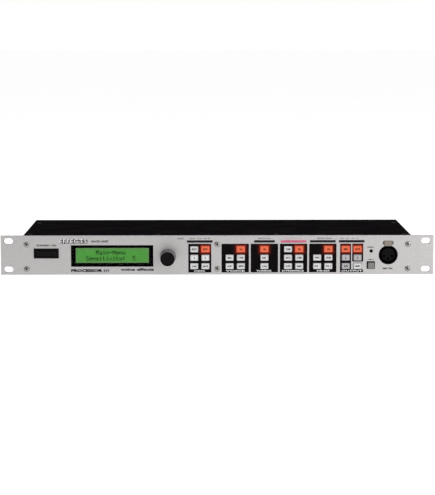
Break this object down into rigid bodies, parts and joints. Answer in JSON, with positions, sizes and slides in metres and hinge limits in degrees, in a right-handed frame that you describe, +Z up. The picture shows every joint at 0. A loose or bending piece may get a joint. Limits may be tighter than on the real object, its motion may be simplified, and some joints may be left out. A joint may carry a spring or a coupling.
{
  "type": "rack effects unit",
  "caption": "One-unit-high rack audio processor: aluminium panel with display, turning data knob, press keys, power switch and microphone socket on a black steel case.",
  "frame": {"origin": "centre of the four rack slots, on the rear face of the front panel, which seats on the rack's rails", "axes": "+X to the right seen from the front, +Y from the front to the rear, +Z up"},
  "size_m": [0.4826, 0.2044, 0.044],
  "materials": {
    "panel_aluminium": "fine blasted, clear anodised",
    "case_paint": "black powder coat",
    "screw_nickel": "bright nickel",
    "screw_black": "black oxide",
    "bezel_black": "fine moulded texture",
    "switch_black": "moulded",
    "circuit_board": "green solder mask",
    "standoff_brass": "turned",
    "component_black": "moulded",
    "lamp_smoked": "smoked, clear moulded",
    "display_glass": "clear",
    "display_green": "backlit liquid crystal",
    "switch_housing_black": "moulded",
    "power_button_black": "polished moulding",
    "phantom_grey": "moulded",
    "knob_black": "soft-touch moulding",
    "encoder_metal": "zinc plated",
    "socket_black": "moulded",
    "socket_insert_black": "moulded",
    "latch_metal": "satin nickel on die-cast zinc",
    "core_steel": "varnished laminations",
    "inlet_black": "moulded",
    "midi_black": "moulded",
    "phono_metal": "plated",
    "jack_black": "moulded",
    "key_red": "translucent, lit from behind",
    "key_white": "translucent, unlit"
  },
  "bodies": {
    "root": {"front_panel": "panel_aluminium", "chassis_tray": "case_paint", "rear_panel": "case_paint", "top_cover": "case_paint", "panel_screws": "screw_nickel", "case_screws": "screw_black", "key_bezel": "bezel_black", "key_switches": "switch_black", "key_board": "circuit_board", "display_board": "circuit_board", "main_board": "circuit_board", "board_standoffs": "standoff_brass", "board_components": "component_black", "indicator_lamps": "lamp_smoked", "display_window": "display_glass", "display_cell": "display_green", "power_switch_housing": "switch_housing_black", "encoder": "encoder_metal", "mic_socket_shell": "socket_black", "mic_socket_insert": "socket_insert_black", "mains_transformer": "core_steel", "mains_inlet": "inlet_black", "midi_sockets": "midi_black", "phono_socket": "phono_metal", "jack_sockets": "jack_black"},
    "key_control_1": {"key_control_1": "key_white"},
    "key_control_2": {"key_control_2": "key_red"},
    "key_control_3": {"key_control_3": "key_white"},
    "key_control_4": {"key_control_4": "key_white"},
    "key_control_5": {"key_control_5": "key_white"},
    "key_control_6": {"key_control_6": "key_white"},
    "key_voice_1": {"key_voice_1": "key_red"},
    "key_voice_2": {"key_voice_2": "key_white"},
    "key_voice_3": {"key_voice_3": "key_white"},
    "key_voice_4": {"key_voice_4": "key_white"},
    "key_voice_5": {"key_voice_5": "key_white"},
    "key_tuning_1": {"key_tuning_1": "key_red"},
    "key_tuning_2": {"key_tuning_2": "key_white"},
    "key_tuning_3": {"key_tuning_3": "key_white"},
    "key_dynamics_1": {"key_dynamics_1": "key_white"},
    "key_dynamics_2": {"key_dynamics_2": "key_red"},
    "key_dynamics_3": {"key_dynamics_3": "key_white"},
    "key_dynamics_4": {"key_dynamics_4": "key_white"},
    "key_dynamics_5": {"key_dynamics_5": "key_white"},
    "key_dynamics_6": {"key_dynamics_6": "key_white"},
    "key_deesser_1": {"key_deesser_1": "key_red"},
    "key_deesser_2": {"key_deesser_2": "key_white"},
    "key_deesser_3": {"key_deesser_3": "key_white"},
    "key_deesser_4": {"key_deesser_4": "key_white"},
    "key_deesser_5": {"key_deesser_5": "key_white"},
    "key_output_1": {"key_output_1": "key_red"},
    "key_output_2": {"key_output_2": "key_red"},
    "key_output_3": {"key_output_3": "key_white"},
    "key_output_4": {"key_output_4": "key_white"},
    "key_output_5": {"key_output_5": "key_white"},
    "key_output_6": {"key_output_6": "key_white"},
    "power_button": {"power_button": "power_button_black"},
    "phantom_button": {"phantom_button": "phantom_grey"},
    "data_knob": {"data_knob": "knob_black"},
    "mic_latch": {"mic_latch": "latch_metal"}
  },
  "joints": [
    {"name": "data_knob_turn", "type": "hinge", "parent": "root", "child": "data_knob", "pos_m": [-0.055, -0.01, -0.0016], "axis": [0, 1, 0], "continuous": true},
    {"name": "mic_latch_press", "type": "slide", "parent": "root", "child": "mic_latch", "axis": [0, 1, 0], "range_m": [0, 0.0025], "stiffness_N_per_m": 900, "springref_m": -0.0015},
    {"name": "phantom_button_press", "type": "slide", "parent": "root", "child": "phantom_button", "axis": [0, 1, 0], "range_m": [0, 0.002], "stiffness_N_per_m": 700, "springref_m": -0.001},
    {"name": "power_button_press", "type": "slide", "parent": "root", "child": "power_button", "axis": [0, 1, 0], "range_m": [0, 0.003], "stiffness_N_per_m": 700, "springref_m": -0.0015},
    {"name": "key_control_1_press", "type": "slide", "parent": "root", "child": "key_control_1", "axis": [0, 1, 0], "range_m": [0, 0.001], "stiffness_N_per_m": 600, "springref_m": -0.001},
    {"name": "key_control_2_press", "type": "slide", "parent": "root", "child": "key_control_2", "axis": [0, 1, 0], "range_m": [0, 0.001], "stiffness_N_per_m": 600, "springref_m": -0.001},
    {"name": "key_control_3_press", "type": "slide", "parent": "root", "child": "key_control_3", "axis": [0, 1, 0], "range_m": [0, 0.001], "stiffness_N_per_m": 600, "springref_m": -0.001},
    {"name": "key_control_4_press", "type": "slide", "parent": "root", "child": "key_control_4", "axis": [0, 1, 0], "range_m": [0, 0.001], "stiffness_N_per_m": 600, "springref_m": -0.001},
    {"name": "key_control_5_press", "type": "slide", "parent": "root", "child": "key_control_5", "axis": [0, 1, 0], "range_m": [0, 0.001], "stiffness_N_per_m": 600, "springref_m": -0.001},
    {"name": "key_control_6_press", "type": "slide", "parent": "root", "child": "key_control_6", "axis": [0, 1, 0], "range_m": [0, 0.001], "stiffness_N_per_m": 600, "springref_m": -0.001},
    {"name": "key_voice_1_press", "type": "slide", "parent": "root", "child": "key_voice_1", "axis": [0, 1, 0], "range_m": [0, 0.001], "stiffness_N_per_m": 600, "springref_m": -0.001},
    {"name": "key_voice_2_press", "type": "slide", "parent": "root", "child": "key_voice_2", "axis": [0, 1, 0], "range_m": [0, 0.001], "stiffness_N_per_m": 600, "springref_m": -0.001},
    {"name": "key_voice_3_press", "type": "slide", "parent": "root", "child": "key_voice_3", "axis": [0, 1, 0], "range_m": [0, 0.001], "stiffness_N_per_m": 600, "springref_m": -0.001},
    {"name": "key_voice_4_press", "type": "slide", "parent": "root", "child": "key_voice_4", "axis": [0, 1, 0], "range_m": [0, 0.001], "stiffness_N_per_m": 600, "springref_m": -0.001},
    {"name": "key_voice_5_press", "type": "slide", "parent": "root", "child": "key_voice_5", "axis": [0, 1, 0], "range_m": [0, 0.001], "stiffness_N_per_m": 600, "springref_m": -0.001},
    {"name": "key_tuning_1_press", "type": "slide", "parent": "root", "child": "key_tuning_1", "axis": [0, 1, 0], "range_m": [0, 0.001], "stiffness_N_per_m": 600, "springref_m": -0.001},
    {"name": "key_tuning_2_press", "type": "slide", "parent": "root", "child": "key_tuning_2", "axis": [0, 1, 0], "range_m": [0, 0.001], "stiffness_N_per_m": 600, "springref_m": -0.001},
    {"name": "key_tuning_3_press", "type": "slide", "parent": "root", "child": "key_tuning_3", "axis": [0, 1, 0], "range_m": [0, 0.001], "stiffness_N_per_m": 600, "springref_m": -0.001},
    {"name": "key_dynamics_1_press", "type": "slide", "parent": "root", "child": "key_dynamics_1", "axis": [0, 1, 0], "range_m": [0, 0.001], "stiffness_N_per_m": 600, "springref_m": -0.001},
    {"name": "key_dynamics_2_press", "type": "slide", "parent": "root", "child": "key_dynamics_2", "axis": [0, 1, 0], "range_m": [0, 0.001], "stiffness_N_per_m": 600, "springref_m": -0.001},
    {"name": "key_dynamics_3_press", "type": "slide", "parent": "root", "child": "key_dynamics_3", "axis": [0, 1, 0], "range_m": [0, 0.001], "stiffness_N_per_m": 600, "springref_m": -0.001},
    {"name": "key_dynamics_4_press", "type": "slide", "parent": "root", "child": "key_dynamics_4", "axis": [0, 1, 0], "range_m": [0, 0.001], "stiffness_N_per_m": 600, "springref_m": -0.001},
    {"name": "key_dynamics_5_press", "type": "slide", "parent": "root", "child": "key_dynamics_5", "axis": [0, 1, 0], "range_m": [0, 0.001], "stiffness_N_per_m": 600, "springref_m": -0.001},
    {"name": "key_dynamics_6_press", "type": "slide", "parent": "root", "child": "key_dynamics_6", "axis": [0, 1, 0], "range_m": [0, 0.001], "stiffness_N_per_m": 600, "springref_m": -0.001},
    {"name": "key_deesser_1_press", "type": "slide", "parent": "root", "child": "key_deesser_1", "axis": [0, 1, 0], "range_m": [0, 0.001], "stiffness_N_per_m": 600, "springref_m": -0.001},
    {"name": "key_deesser_2_press", "type": "slide", "parent": "root", "child": "key_deesser_2", "axis": [0, 1, 0], "range_m": [0, 0.001], "stiffness_N_per_m": 600, "springref_m": -0.001},
    {"name": "key_deesser_3_press", "type": "slide", "parent": "root", "child": "key_deesser_3", "axis": [0, 1, 0], "range_m": [0, 0.001], "stiffness_N_per_m": 600, "springref_m": -0.001},
    {"name": "key_deesser_4_press", "type": "slide", "parent": "root", "child": "key_deesser_4", "axis": [0, 1, 0], "range_m": [0, 0.001], "stiffness_N_per_m": 600, "springref_m": -0.001},
    {"name": "key_deesser_5_press", "type": "slide", "parent": "root", "child": "key_deesser_5", "axis": [0, 1, 0], "range_m": [0, 0.001], "stiffness_N_per_m": 600, "springref_m": -0.001},
    {"name": "key_output_1_press", "type": "slide", "parent": "root", "child": "key_output_1", "axis": [0, 1, 0], "range_m": [0, 0.001], "stiffness_N_per_m": 600, "springref_m": -0.001},
    {"name": "key_output_2_press", "type": "slide", "parent": "root", "child": "key_output_2", "axis": [0, 1, 0], "range_m": [0, 0.001], "stiffness_N_per_m": 600, "springref_m": -0.001},
    {"name": "key_output_3_press", "type": "slide", "parent": "root", "child": "key_output_3", "axis": [0, 1, 0], "range_m": [0, 0.001], "stiffness_N_per_m": 600, "springref_m": -0.001},
    {"name": "key_output_4_press", "type": "slide", "parent": "root", "child": "key_output_4", "axis": [0, 1, 0], "range_m": [0, 0.001], "stiffness_N_per_m": 600, "springref_m": -0.001},
    {"name": "key_output_5_press", "type": "slide", "parent": "root", "child": "key_output_5", "axis": [0, 1, 0], "range_m": [0, 0.001], "stiffness_N_per_m": 600, "springref_m": -0.001},
    {"name": "key_output_6_press", "type": "slide", "parent": "root", "child": "key_output_6", "axis": [0, 1, 0], "range_m": [0, 0.001], "stiffness_N_per_m": 600, "springref_m": -0.001}
  ]
}
